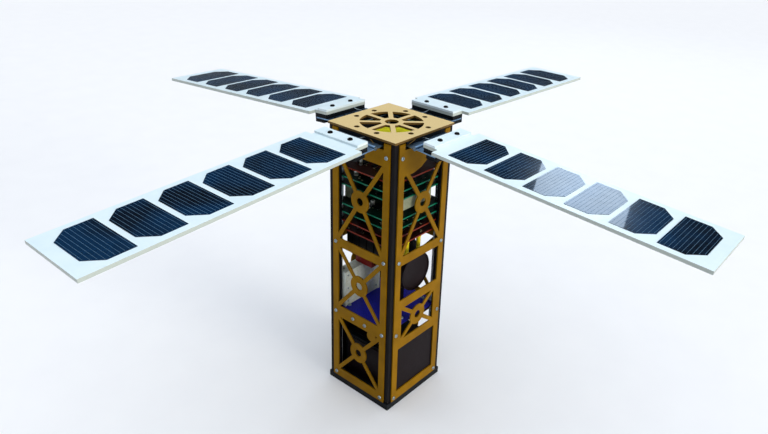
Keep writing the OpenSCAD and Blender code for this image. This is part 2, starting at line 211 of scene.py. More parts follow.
def makeBoard(name):
    # glass-epoxy laminate under dyed solder mask: glossy, with raised tracks of a paler tone and a plain sawn edge
    mask, overCopper, sawn, trackMm = boardFinishes[name]
    material, tree, shader, place = newMaterial(name, Roughness=0.36, IOR=1.52, Specular_IOR_Level=0.12)
    cells = addNode(tree, "ShaderNodeTexVoronoi", {"Vector": place, "Scale": perMm(trackMm * 3), "Randomness": 0.55},
                    distance="MANHATTAN")
    track = addNode(tree, "ShaderNodeMath", {0: cells, 1: trackPhase}, operation="MULTIPLY")
    track = addNode(tree, "ShaderNodeMath", {0: track}, operation="SINE")
    raised = addNode(tree, "ShaderNodeMapRange", {0: track, 1: 0.1, 2: 0.5})
    face = addNode(tree, "ShaderNodeMix", {0: raised, 6: toLinear(mask), 7: toLinear(overCopper)}, out=2,
                   data_type="RGBA")
    cut = sawnEdge(tree)
    weave = addNode(tree, "ShaderNodeTexNoise", {"Vector": place, "Scale": perMm(glassWeaveMm), "Detail": 4.0})
    threads = addNode(tree, "ShaderNodeMapRange", {0: weave, 1: 0.5, 2: 0.8, 4: 0.6})
    edge = addNode(tree, "ShaderNodeMix", {0: threads, 6: toLinear(sawn), 7: toLinear(mask)}, out=2, data_type="RGBA")
    color = addNode(tree, "ShaderNodeMix", {0: cut, 6: face, 7: edge}, out=2, data_type="RGBA")
    gloss = addNode(tree, "ShaderNodeMapRange", {0: weave, 1: 0.3, 2: 0.7, 3: 0.27, 4: 0.4})
    bump = addNode(tree, "ShaderNodeBump", {"Height": raised, "Strength": 0.35, "Distance": 0.00005})
    feed(tree, shader, Base_Color=color, Roughness=gloss, Normal=bump)
    return material


whiteBoard = {"face": "#e4f6fc", "cloud": "#dcf0f8", "layerMm": 0.55, "cloudMm": 30, "weaveMm": 0.8}
whiteEdges = {   # sawn edge and its glass layers
    # the wing's edge colours are cream laminate, partly darkened with painted shade from averaging lit and shaded
    # edges
    "whiteSolderMask": ("#b4bdb8", "#9da69c"),
    "whiteGlazedPad": ("#dbeaf0", "#c6d6db"),
}


def makeWhiteBoard(name):
    # glass-epoxy board under white solder mask: cool glossy white faces and a duller sawn edge with its glass layers,
    # the wing edge partly darkened with painted shade
    look = whiteBoard
    sawn, line = whiteEdges[name]
    material, tree, shader, place = newMaterial(name, Roughness=0.34, IOR=1.5, Specular_IOR_Level=0.3)
    cloud = addNode(tree, "ShaderNodeTexNoise", {"Vector": place, "Scale": perMm(look["cloudMm"]), "Detail": 6.0,
                                                 "Roughness": 0.6})
    tone = addNode(tree, "ShaderNodeMapRange", {0: cloud, 1: 0.4, 2: 0.66})
    face = addNode(tree, "ShaderNodeMix", {0: tone, 6: toLinear(look["face"]), 7: toLinear(look["cloud"])}, out=2,
                   data_type="RGBA")
    thick = addNode(tree, "ShaderNodeSeparateXYZ", {"Vector": place}, out="Z")
    layers = ripples(tree, thick, look["layerMm"])
    glass = addNode(tree, "ShaderNodeMapRange", {0: layers, 1: 0.2, 2: 0.9, 4: 0.5})
    edge = addNode(tree, "ShaderNodeMix", {0: glass, 6: toLinear(sawn), 7: toLinear(line)}, out=2, data_type="RGBA")
    cut = sawnEdge(tree)
    color = addNode(tree, "ShaderNodeMix", {0: cut, 6: face, 7: edge}, out=2, data_type="RGBA")
    weave = addNode(tree, "ShaderNodeTexNoise", {"Vector": place, "Scale": perMm(look["weaveMm"]), "Detail": 4.0})
    gloss = addNode(tree, "ShaderNodeMapRange", {0: cloud, 1: 0.3, 2: 0.7, 3: 0.28, 4: 0.42})
    bump = addNode(tree, "ShaderNodeBump", {"Height": weave, "Strength": 0.06, "Distance": 0.0001})
    feed(tree, shader, Base_Color=color, Roughness=gloss, Normal=bump)
    return material


solarGlass = {"navy": "#04182b", "blue": "#04375e", "deep": "#04101e", "crystalMm": 7, "areaMm": 55,
              "waveMm": 16}


def makeSolarGlass():
    # silicon cell under thin cover glass: near-black navy with cloudy blue crystal areas beneath a hard clear gloss
    look = solarGlass
    material, tree, shader, place = newMaterial("solarCellGlass", Roughness=0.2, IOR=1.5, Specular_IOR_Level=0.08,
                                                Coat_Weight=0.6, Coat_Roughness=0.03)
    wide = addNode(tree, "ShaderNodeTexNoise", {"Vector": place, "Scale": perMm(look["areaMm"]), "Detail": 2.0})
    area = addNode(tree, "ShaderNodeMapRange", {0: wide, 1: 0.38, 2: 0.62})
    crystal = addNode(tree, "ShaderNodeTexVoronoi", {"Vector": place, "Scale": perMm(look["crystalMm"])}, out="Color")
    facet = addNode(tree, "ShaderNodeSeparateXYZ", {"Vector": crystal}, out="X")
    dark = addNode(tree, "ShaderNodeMix", {0: facet, 6: toLinear(look["deep"]), 7: toLinear(look["navy"])}, out=2,
                   data_type="RGBA")
    mixed = addNode(tree, "ShaderNodeMath", {0: area, 1: 0.55}, operation="MULTIPLY")
    color = addNode(tree, "ShaderNodeMix", {0: mixed, 6: dark, 7: toLinear(look["blue"])}, out=2, data_type="RGBA")
    gloss = addNode(tree, "ShaderNodeMapRange", {0: facet, 3: 0.18, 4: 0.24})
    wave = addNode(tree, "ShaderNodeTexNoise", {"Vector": place, "Scale": perMm(look["waveMm"]), "Detail": 1.0})
    bump = addNode(tree, "ShaderNodeBump", {"Height": wave, "Strength": 0.05, "Distance": 0.0004})
    feed(tree, shader, Base_Color=color, Roughness=gloss, Normal=bump)
    return material


plasticFinishes = {   # colour, second tone, roughness, pattern size in mm, bump
    "beigeMouldedNylon": ("#969a80", "#7f8369", 0.48, 0.9, 0.25),
    "yellowMouldedNylon": ("#e6d216", "#c9b30e", 0.42, 0.8, 0.20),
    "silverPrintedFinger": ("#56788f", "#44637a", 0.40, 0.5, 0.10),
    "tanPolyimideTape": ("#9a5f14", "#b87a24", 0.25, 5.0, 0.10),
    "glassEpoxyPale": ("#a9a888", "#8d8c6c", 0.50, 0.6, 0.15),
    "redLacquer": ("#8e130e", "#74100c", 0.45, 1.2, 0.15),
    "satinAluminium": ("#dfe6e2", "#c3cbb8", 0.50, 0.8, 0.20),
}


def makePlastic(name):
    # moulded, printed, taped or blasted skin: soft even colour with a slight mottle and a fine texture
    first, second, rough, sizeMm, depth = plasticFinishes[name]
    material, tree, shader, place = newMaterial(name, Roughness=rough, IOR=1.5, Specular_IOR_Level=0.2)
    mottle = addNode(tree, "ShaderNodeTexNoise", {"Vector": place, "Scale": perMm(sizeMm * 6), "Detail": 7.0,
                                                  "Roughness": 0.65})
    skin = addNode(tree, "ShaderNodeTexNoise", {"Vector": place, "Scale": perMm(sizeMm), "Detail": 3.0})
    tone = addNode(tree, "ShaderNodeMapRange", {0: mottle, 1: 0.35, 2: 0.7})
    color = addNode(tree, "ShaderNodeMix", {0: tone, 6: toLinear(first), 7: toLinear(second)}, out=2,
                    data_type="RGBA")
    gloss = addNode(tree, "ShaderNodeMapRange", {0: mottle, 1: 0.3, 2: 0.7, 3: rough - 0.06, 4: rough + 0.1})
    bump = addNode(tree, "ShaderNodeBump", {"Height": skin, "Strength": depth, "Distance": 0.0001})
    feed(tree, shader, Base_Color=color, Roughness=gloss, Normal=bump)
    return material


# the gap colour is painted shade in the crevices between the turns
reelTape = {"tape": "#f4f41c", "gap": "#c6c60f", "turnMm": 1.3, "mottleMm": 5}


def makeReelTape():
    # wound yellow plastic tape: matt lemon turns with thin painted shade in the gaps between them, drawn coarser than
    # real turns
    look = reelTape
    material, tree, shader, place = newMaterial("yellowWoundTape", Roughness=0.5, IOR=1.5, Specular_IOR_Level=0.2)
    flat = addNode(tree, "ShaderNodeVectorMath", {0: place, 1: (1.0, 1.0, 0.0)}, operation="MULTIPLY")
    radius = addNode(tree, "ShaderNodeVectorMath", {0: flat}, out="Value", operation="LENGTH")
    turns = ripples(tree, radius, look["turnMm"])
    gap = addNode(tree, "ShaderNodeMapRange", {0: turns, 1: 0.55, 2: 1.0, 4: 0.7})
    color = addNode(tree, "ShaderNodeMix", {0: gap, 6: toLinear(look["tape"]), 7: toLinear(look["gap"])}, out=2,
                    data_type="RGBA")
    mottle = addNode(tree, "ShaderNodeTexNoise", {"Vector": place, "Scale": perMm(look["mottleMm"]), "Detail": 5.0})
    gloss = addNode(tree, "ShaderNodeMapRange", {0: mottle, 1: 0.3, 2: 0.7, 3: 0.42, 4: 0.58})
    bump = addNode(tree, "ShaderNodeBump", {"Height": turns, "Strength": 0.3, "Distance": 0.0002})
    feed(tree, shader, Base_Color=color, Roughness=gloss, Normal=bump)
    return material


# the crest colour is a painted highlight and the root colour is painted shade in the thread grooves
threadedRod = {"crestHighlight": "#e3e6e6", "root": "#6c7276", "pitchMm": 1.6, "wearMm": 6}


def makeThreadedRod():
    # zinc-plated threaded rod: a painted highlight on the crests over painted shade in the roots, the pitch drawn
    # coarser than the real half millimetre
    look = threadedRod
    material, tree, shader, place = newMaterial("zincThreadedRod", Metallic=0.35, Roughness=0.35)
    rise = addNode(tree, "ShaderNodeSeparateXYZ", {"Vector": place}, out="Z")
    turns = ripples(tree, rise, look["pitchMm"])
    crestHighlight = addNode(tree, "ShaderNodeMapRange", {0: turns, 1: -0.6, 2: 0.5})
    color = addNode(tree, "ShaderNodeMix", {0: crestHighlight, 6: toLinear(look["root"]), 7: toLinear(look["crestHighlight"])}, out=2,
                    data_type="RGBA")
    worn = addNode(tree, "ShaderNodeTexNoise", {"Vector": place, "Scale": perMm(look["wearMm"]), "Detail": 5.0})
    gloss = addNode(tree, "ShaderNodeMapRange", {0: worn, 1: 0.3, 2: 0.7, 3: 0.28, 4: 0.5})
    bump = addNode(tree, "ShaderNodeBump", {"Height": turns, "Strength": 0.4, "Distance": 0.0003})
    feed(tree, shader, Base_Color=color, Roughness=gloss, Normal=bump)
    return material


paper = {"first": "#f4f5f6", "second": "#eff0f2", "grainMm": 60}


def makeFloor():
    # matt paper sweep: even and pale, with the faintest grain
    material, tree, shader, place = newMaterial("palePaperFloor", Roughness=0.9, IOR=1.4)
    grain = addNode(tree, "ShaderNodeTexNoise", {"Vector": place, "Scale": perMm(paper["grainMm"]), "Detail": 3.0})
    color = addNode(tree, "ShaderNodeMix", {0: grain, 6: toLinear(paper["first"]), 7: toLinear(paper["second"])},
                    out=2, data_type="RGBA")
    feed(tree, shader, Base_Color=color)
    return material


finish = {}
for make, names in ((makeDark, darkFinishes), (makeMetal, metalFinishes), (makeBoard, boardFinishes),
                    (makePlastic, plasticFinishes), (makeWhiteBoard, whiteEdges)):
    finish.update({name: make(name) for name in names})
finish.update(gold=makeGoldSheet(), tan=makeTanBoard(), cell=makeSolarGlass(), rod=makeThreadedRod(),
              tape=makeReelTape(), floor=makeFloor())
print("materials made:", len(finish))

finishOf = {   # which finish each part of the frame gets
    "base_plate": "blackMouldedBase", "corner_angles": "blackAnodisedAngle", "front_plate": "gold",
    "right_plate": "gold", "back_plate": "gold", "left_plate": "gold", "top_plate": "tan",
    "hinge_bars": "blackMouldedNylon", "fixed_leaves": "brushedHingeSteel", "hinge_pins": "zincPlatedSteel",
    "stack_rods": "rod", "red_boards": "redSolderMask", "green_boards": "greenSolderMask",
    "connector_blocks": "beigeMouldedNylon", "antenna_reel": "tape", "drum": "blackPowderCoat",
    "drum_bracket": "blackAnodisedAngle", "yellow_posts": "yellowMouldedNylon", "aluminium_box": "satinAluminium",
    "red_module": "redLacquer", "blue_deck": "blueSolderMask", "battery_box": "blackMouldedNylon",
    "bay_panels": "blackPowderCoat",
    # the pieces that every wing has, by the last word of their names
    "wing": "whiteSolderMask", "pad": "whiteGlazedPad", "cells": "cell", "leaf": "brushedHingeSteel",
    "clamp": "blackMouldedNylon"}
sides = ("front", "right", "back", "left")
for name, node in nodes.items():
    kind = name if name in finishOf else name.split("_")[-1]
    node.data.materials.clear()
    node.data.materials.append(finish[finishOf[kind]])
print("frame painted")


# mesh helpers
def addBox(bm, low, high, place=Matrix.Identity(4)):   # a box between two corners, then moved by a matrix
    corners = [(x, y, z) for z in (low[2], high[2]) for y in (low[1], high[1]) for x in (low[0], high[0])]
    v = [bm.verts.new(place @ Vector(c)) for c in corners]
    for ring in ((0, 2, 3, 1), (4, 5, 7, 6), (0, 1, 5, 4), (2, 6, 7, 3), (0, 4, 6, 2), (1, 3, 7, 5)):
        bm.faces.new([v[i] for i in ring])


def addTurned(bm, profile, place, steps=20):   # a (radius, height) profile turned about local z and closed
    rings = []
    for radius, height in profile:
        if radius < 1e-7:
            rings.append([bm.verts.new(place @ Vector((0, 0, height)))])
        else:
            rings.append([bm.verts.new(place @ Vector((radius * math.cos(math.tau * i / steps),
                                                       radius * math.sin(math.tau * i / steps), height)))
                          for i in range(steps)])
    for lower, upper in zip(rings, rings[1:]):
        for i in range(steps):
            j = (i + 1) % steps
            quad = [lower[i % len(lower)], lower[j % len(lower)], upper[j % len(upper)], upper[i % len(upper)]]
            quad = list(dict.fromkeys(quad))
            if len(quad) > 2:
                bm.faces.new(quad)
    for ring, turn in ((rings[0], -1), (rings[-1], 1)):
        if len(ring) > 1:
            bm.faces.new(ring[::turn])


def addWire(bm, points, radius, steps=10):   # a round wire along a list of points
    points = [Vector(p) for p in points]
    angles = [math.tau * k / steps for k in range(steps)]
    rings = []
    for i, point in enumerate(points):
        ahead = (points[min(i + 1, len(points) - 1)] - points[max(i - 1, 0)]).normalized()
        side = ahead.orthogonal().normalized() if not rings else (side - ahead * side.dot(ahead)).normalized()
        other = ahead.cross(side)
        rings.append([bm.verts.new(point + radius * (side * math.cos(a) + other * math.sin(a))) for a in angles])
    for lower, upper in zip(rings, rings[1:]):
        for k in range(steps):
            bm.faces.new([lower[k], lower[(k + 1) % steps], upper[(k + 1) % steps], upper[k]])
    bm.faces.new(rings[0][::-1])
    bm.faces.new(rings[-1])


def roundEdges(item, width):   # a small bevel that catches the light
    edge = item.modifiers.new("edge", "BEVEL")
    edge.width, edge.segments, edge.limit_method, edge.angle_limit = width, 2, "ANGLE", math.radians(40)


def makePiece(name, bm, material, body, bevel=0.0, smooth=True):   # the finished mesh as a piece riding on a body
    bmesh.ops.recalc_face_normals(bm, faces=bm.faces)
    mesh = bpy.data.meshes.new(name)
    bm.to_mesh(mesh)
    bm.free()
    piece = bpy.data.objects.new(name, mesh)
    bpy.context.scene.collection.objects.link(piece)
    mesh.materials.append(finish[material])
    if smooth:
        mesh.shade_smooth()
        mesh.set_sharp_from_angle(angle=math.radians(38))
    if bevel:
        roundEdges(piece, bevel)
    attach(piece, body)


def facing(side, x, z, out):   # a point on a body side: x along it as seen from outside, z up, out from the middle
    turn = Matrix.Rotation(math.radians(90 * sides.index(side)), 4, "Z")
    return turn @ Matrix.Translation((x, -out, z)) @ Matrix.Rotation(math.radians(90), 4, "X")


def wingHinge(side):   # where the hinge is, and how far the open wing hangs below level
    joint = next(j for j in frame["joints"] if j["name"] == side + "_wing_fold")
    return Vector(joint["pos_m"]), math.radians(90 - joint["range_deg"][1])


def wingFrame(side):   # the wing's own frame: origin on its hinge axis, -y to its tip, z off its cells
    spot, sag = wingHinge(side)
    turn = Matrix.Rotation(math.radians(90 * sides.index(side)), 4, "Z")
    return Matrix.Translation(spot) @ turn @ Matrix.Rotation(sag, 4, "X")


def boxIn(node, place):   # a node's box measured in another frame
    back = place.inverted()
    points = [back @ v.co for v in nodes[node].data.vertices]
    return (Vector(min(p[i] for p in points) for i in range(3)), Vector(max(p[i] for p in points) for i in range(3)))


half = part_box("base_plate")[1].x
topLow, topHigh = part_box("top_plate")
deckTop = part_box("blue_deck")[1].z
reds = sorted({round(v.co.z, 5) for v in nodes["red_boards"].data.vertices})
greens = sorted({round(v.co.z, 5) for v in nodes["green_boards"].data.vertices})


# pan head screws
screwHead = {"radius": 2.35 * mm, "height": 1.4 * mm, "slot": 0.5 * mm, "arm": 1.5 * mm, "depth": 0.9 * mm}


def addScrew(bm, place, size=1.0):   # a domed head standing on local z = 0 with a sunk cross
    r, h = screwHead["radius"] * size, screwHead["height"] * size
    w, a, d = screwHead["slot"] * size, screwHead["arm"] * size, screwHead["depth"] * size
    cross = [(a, -w), (a, w), (w, w), (w, a), (-w, a), (-w, w),
             (-a, w), (-a, -w), (-w, -w), (-w, -a), (w, -a), (w, -w)]
    turns = [math.atan2(y, x) for x, y in cross]
    turns = [t + math.tau if i > 7 else t for i, t in enumerate(turns)]
    turns = [t + math.tau if i and t < turns[0] else t for i, t in enumerate(turns)] + [turns[0] + math.tau]
    spread = [t for i in range(12) for t in (turns[i], (turns[i] + turns[i + 1]) / 2)]
    brim = [bm.verts.new(place @ Vector((x, y, h))) for x, y in cross]
    pit = [bm.verts.new(place @ Vector((x * 0.8, y * 0.8, h - d))) for x, y in cross]
    for i in range(12):
        bm.faces.new([brim[i], brim[(i + 1) % 12], pit[(i + 1) % 12], pit[i]])
    bm.faces.new(pit)
    rings = [[bm.verts.new(place @ Vector((r * scale * math.cos(t), r * scale * math.sin(t), up))) for t in spread]
             for scale, up in ((0.66, h), (0.84, h * 0.86), (0.96, h * 0.55), (1.0, h * 0.12), (1.0, -0.1 * h))]
    for i in range(12):
        bm.faces.new([brim[i], rings[0][2 * i], rings[0][2 * i + 1], rings[0][(2 * i + 2) % 24], brim[(i + 1) % 12]])
    for upper, lower in zip(rings, rings[1:]):
        for i in range(24):
            bm.faces.new([upper[i], upper[(i + 1) % 24], lower[(i + 1) % 24], lower[i]])


plateScrews = {   # across and up in mm, for the braced sides and for the open right side
    "braced": [(-38, 328), (38, 328), (-38, 202), (38, 202), (-38, 105.3), (-9, 105.9), (10.4, 105.4), (38, 105),
               (-37.3, 13.5), (37.3, 13.5)],
    "open": [(-38, 327.5), (38, 327.5), (-38, 201.7), (38, 201.7), (-38.5, 104.3), (38.5, 104.3), (-38.8, 12.5),
             (38.8, 12.5)]}
randomTurn = random.Random(7)
for side in sides:
    bm = bmesh.new()
    for x, z in plateScrews["braced" if side != "right" else "open"]:
        spin = Matrix.Rotation(randomTurn.uniform(0, math.pi), 4, "Z")
        addScrew(bm, facing(side, x * mm, z * mm, half) @ spin)
    makePiece(side + "_plate_screws", bm, "zincPlatedSteel", "body")
print("plate screws made")


# printed silver fingers on the cells of each wing
cellGrid = {"pitch": 43.7 * mm, "length": 37.9 * mm, "crop": 13.6 * mm, "count": 6, "fingers": 10, "margin": 0.9 * mm,
            "fingerWidth": 0.27 * mm}   # real fingers are about 0.05 mm, drawn wider to show
for side in sides:
    place = wingFrame(side)
    high = boxIn(side + "_cells", place)[1]
    bm = bmesh.new()
    for cell in range(cellGrid["count"]):
        start = high.y - cell * cellGrid["pitch"]
        for k in range(cellGrid["fingers"]):
            y = start - cellGrid["length"] * (k + 0.5) / cellGrid["fingers"]
            fromEnd = y - (start - cellGrid["length"])
            reach = high.x - max(0.0, cellGrid["crop"] - fromEnd) - cellGrid["margin"]
            addBox(bm, (-reach, y - cellGrid["fingerWidth"] / 2, high.z - 0.02 * mm),
                   (reach, y + cellGrid["fingerWidth"] / 2, high.z + 0.03 * mm), place)
    makePiece(side + "_cell_fingers", bm, "silverPrintedFinger", side + "_wing_body", smooth=False)
print("cell fingers made")


# hinge hardware: spring legs, leaf screws and the threaded inserts in each clamp
padHoles = {"apart": 14.6 * mm, "out": 19 * mm}   # the two holes through each pad and its clamp
hingeParts = {"wire": 0.55 * mm, "legAcross": {"front": 7, "right": -7, "back": 4, "left": -12}, "legUp": 4.1 * mm,
              "leafScrewAcross": (-23, -8, 8, 23), "leafScrewOut": 6.8 * mm, "insert": 2.15 * mm}
legs = bmesh.new()
for side in sides:
    place = wingFrame(side)
    flat = place @ Matrix.Rotation(-wingHinge(side)[1], 4, "X")
    across = hingeParts["legAcross"][side] * mm
    up = hingeParts["legUp"]
    board = boxIn(side + "_wing", place)
    inner = board[1].y
    addWire(legs, [flat @ Vector(p) for p in ((across, 10.6 * mm, up - 1.2 * mm), (across, 8 * mm, up - 0.2 * mm),
                                              (across, 4 * mm, up), (across, 0.2 * mm, up))], hingeParts["wire"])
    bm = bmesh.new()
    addWire(bm, [place @ Vector(p) for p in ((across, -0.2 * mm, up), (across, -6 * mm, up),
                                             (across, inner - 0.5 * mm, board[0].z + 0.4 * mm),
                                             (across, inner - 4 * mm, board[0].z + 0.4 * mm))], hingeParts["wire"])
    makePiece(side + "_spring_leg", bm, "zincPlatedSteel", side + "_wing_body")
    bm = bmesh.new()
    for x in hingeParts["leafScrewAcross"]:
        addScrew(bm, place @ Matrix.Translation((x * mm, -hingeParts["leafScrewOut"], 0.6 * mm)), 0.55)
    makePiece(side + "_leaf_screws", bm, "blackAnodisedAngle", side + "_wing_body")
    bm = bmesh.new()
    clamp = boxIn(side + "_clamp", place)
    for x in (-padHoles["apart"], padHoles["apart"]):   # flush in the clamp, so that a folded wing keeps its room
        addTurned(bm, [(hingeParts["insert"], 3 * mm), (hingeParts["insert"], 0.02 * mm), (1.6 * mm, 0.02 * mm),
                       (1.45 * mm, 0.3 * mm), (1.45 * mm, 1.4 * mm)],
                  place @ Matrix.Translation((x, -padHoles["out"], clamp[0].z)), steps=24)
    makePiece(side + "_clamp_inserts", bm, "springBrass", side + "_wing_body")
makePiece("spring_legs", legs, "zincPlatedSteel", "body")

hookRadius = 0.45 * mm
hookWires = {   # bent ends that show in front of the hinge bars, across and up in mm
    "front": ((15, 343), (19, 340.8), (25, 338.2), (27, 341)),
    "right": ((-19, 344.4), (-25, 343), (-30, 340.8), (-33, 342)),
    "back": ((16, 343), (20, 341), (26, 338.6), (28, 341)),
    "left": ((-17, 343), (-21, 341), (-27, 339), (-29, 341)),
}
barLow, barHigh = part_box("hinge_bars")
bm = bmesh.new()
for side in sides:
    addWire(bm, [facing(side, x * mm, z * mm, barHigh.x + 0.4 * mm).translation for x, z in hookWires[side]],
            hookRadius)
makePiece("hook_wires", bm, "springBrass", "body")
print("hinge hardware made")

# brackets beside and below the hinge bars
barEnd = {"near": 28.4 * mm, "far": 38 * mm, "back": 40.8 * mm, "face": 46.2 * mm, "down": 19 * mm,
          "thick": 2 * mm, "underTop": 0.3 * mm}
behind = barEnd["face"] - barEnd["thick"]
reach = barEnd["near"] + 0.2 * mm
shelf = barLow.z - topLow.z + barEnd["underTop"] - 0.1 * mm   # just under the bar
bm = bmesh.new()
for side in sides:
    place = facing(side, 0, topLow.z - barEnd["underTop"], 0)   # local x across, y up, z out
    for s in (-1, 1):
        near, far = sorted((s * barEnd["near"], s * barEnd["far"]))
        addBox(bm, (near, -barEnd["down"], behind), (far, 0, barEnd["face"]), place)
        addBox(bm, (near, -barEnd["thick"], barEnd["back"]), (far, 0, behind + 0.2 * mm), place)
    addBox(bm, (-reach, -barEnd["down"], behind), (reach, shelf, barEnd["face"]), place)
makePiece("bar_brackets", bm, "blackMouldedNylon", "body", bevel=0.25 * mm, smooth=False)

# blackened eyelets round the screw holes of the top plate, the holes staying open, and the pad screws
eyelet = {"hole": 2.2 * mm, "width": 0.8, "raised": 0.25, "inset": 9.5 * mm}   # width and raised in mm
padScrew = {"size": 1.2, "shank": 2.1 * mm, "long": 10 * mm}


def addEyelet(bm, place):   # a low ring on local z = 0 with rounded lips and a short sleeve down the hole
    wide, tall = eyelet["width"], eyelet["raised"]
    outline = ((0.02, -1.2), (0.02, 0.12), (0.12, tall), (wide - 0.15, tall), (wide, 0.12), (wide, -0.05))
    loops = []
    for out, up in outline:
        r = eyelet["hole"] + (out * mm if up > -1 else 0.01 * mm)
        loops.append([bm.verts.new(place @ Vector((r * math.cos(math.tau * i / 32), r * math.sin(math.tau * i / 32),
                                                   up * mm))) for i in range(32)])
    for first, second in zip(loops, loops[1:] + loops[:1]):
        for i in range(32):
            bm.faces.new([first[i], first[(i + 1) % 32], second[(i + 1) % 32], second[i]])


bm = bmesh.new()
for side in sides:
    for x in (-padHoles["apart"], padHoles["apart"]):
        addEyelet(bm, facing(side, x, topHigh.z, half - eyelet["inset"]) @ Matrix.Rotation(-math.pi / 2, 4, "X"))
makePiece("top_eyelets", bm, "blackAnodisedAngle", "body")
for side in sides:   # dark screws through each pad, down to the inserts in the clamp
    bm = bmesh.new()
    place = wingFrame(side)
    level = boxIn(side + "_pad", place)[1].z
    for x in (-padHoles["apart"], padHoles["apart"]):
        spot = place @ Matrix.Translation((x, -padHoles["out"], level))
        addScrew(bm, spot @ Matrix.Rotation(randomTurn.uniform(0, math.pi), 4, "Z"), padScrew["size"])
        addTurned(bm, [(padScrew["shank"] - 0.2 * mm, -padScrew["long"]),
                       (padScrew["shank"], 0.4 * mm - padScrew["long"]), (padScrew["shank"], -0.1 * mm)],
                  spot, steps=24)
    makePiece(side + "_pad_screws", bm, "blackAnodisedAngle", side + "_wing_body")
print("eyelets and pad screws made")


# wiring on the underside of each wing: a tape-covered strip and the pads under the cells
underside = {"stripWidth": 9 * mm, "stripThick": 0.25 * mm, "padRadius": 1.3 * mm, "firstCell": 63.4 * mm,
             "branch": 26 * mm, "root": 31 * mm, "tip": 20 * mm}
for side in sides:
    place = wingFrame(side)
    board = boxIn(side + "_wing", place)
    bottom = board[0].z
    low, high, across = bottom - underside["stripThick"], bottom + 0.05 * mm, underside["branch"]
    strip, pads = bmesh.new(), bmesh.new()
    addBox(strip, (-underside["stripWidth"] / 2, board[0].y + underside["tip"], low),
           (underside["stripWidth"] / 2, -underside["root"], high), place)
    for cell in range(cellGrid["count"]):
        y = -underside["firstCell"] - cellGrid["pitch"] * cell
        addBox(strip, (-across, y - 1.5 * mm, low), (across, y + 1.5 * mm, high), place)
        for x in (-across, across):
            addTurned(pads, [(underside["padRadius"] * 1.2, 0.1 * mm), (underside["padRadius"], -0.5 * mm),
                             (underside["padRadius"] * 0.5, -0.85 * mm), (0.0, -0.95 * mm)],
                      place @ Matrix.Translation((x, y, bottom)), steps=14)
    makePiece(side + "_wing_wiring", strip, "tanPolyimideTape", side + "_wing_body", bevel=0.1 * mm)
    makePiece(side + "_wing_solder", pads, "tinnedPin", side + "_wing_body")
print("wing undersides made")


# spacers, rod nuts and the small parts on the boards
rodPlace = half - 10.5 * mm
rodSpots = [(x, y) for x in (-rodPlace, rodPlace) for y in (-rodPlace, rodPlace)]
spacer = {"radius": 2.7 * mm, "bore": 1.55 * mm, "gap": 0.05 * mm}
rodNut = {"radius": 3.1 * mm, "bore": 1.5 * mm, "half": 1.2 * mm}
boardSpans = sorted(reds + greens)
under, over = boardSpans[0::2], boardSpans[1::2]
bm = bmesh.new()
for low, high in zip(over, under[1:]):
    foot, head = low + spacer["gap"], high - spacer["gap"]
    for x, y in rodSpots:
        addTurned(bm, [(spacer["bore"], foot), (spacer["radius"], foot), (spacer["radius"], head),
                       (spacer["bore"], head)], Matrix.Translation((x, y, 0)), steps=6)
makePiece("board_spacers", bm, "zincPlatedSteel", "body", bevel=0.2 * mm, smooth=False)
bm = bmesh.new()
nutHeights = (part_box("base_plate")[1].z + 1.4 * mm, deckTop + 1.3 * mm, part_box("blue_deck")[0].z - 1.5 * mm,
              under[0] - 1.5 * mm, over[-1] + 1.4 * mm)
for z in nutHeights:
    foot, head, flat = z - rodNut["half"], z + rodNut["half"], rodNut["radius"] - 0.3 * mm
    for x, y in rodSpots:
        addTurned(bm, [(rodNut["bore"], foot), (flat, foot), (rodNut["radius"], foot + 0.4 * mm),
                       (rodNut["radius"], head - 0.4 * mm), (flat, head), (rodNut["bore"], head)],
                  Matrix.Translation((x, y, 0)) @ Matrix.Rotation(randomTurn.uniform(0, 1), 4, "Z"), steps=6)
makePiece("rod_nuts", bm, "zincPlatedSteel", "body", smooth=False)
print("spacers and nuts made")

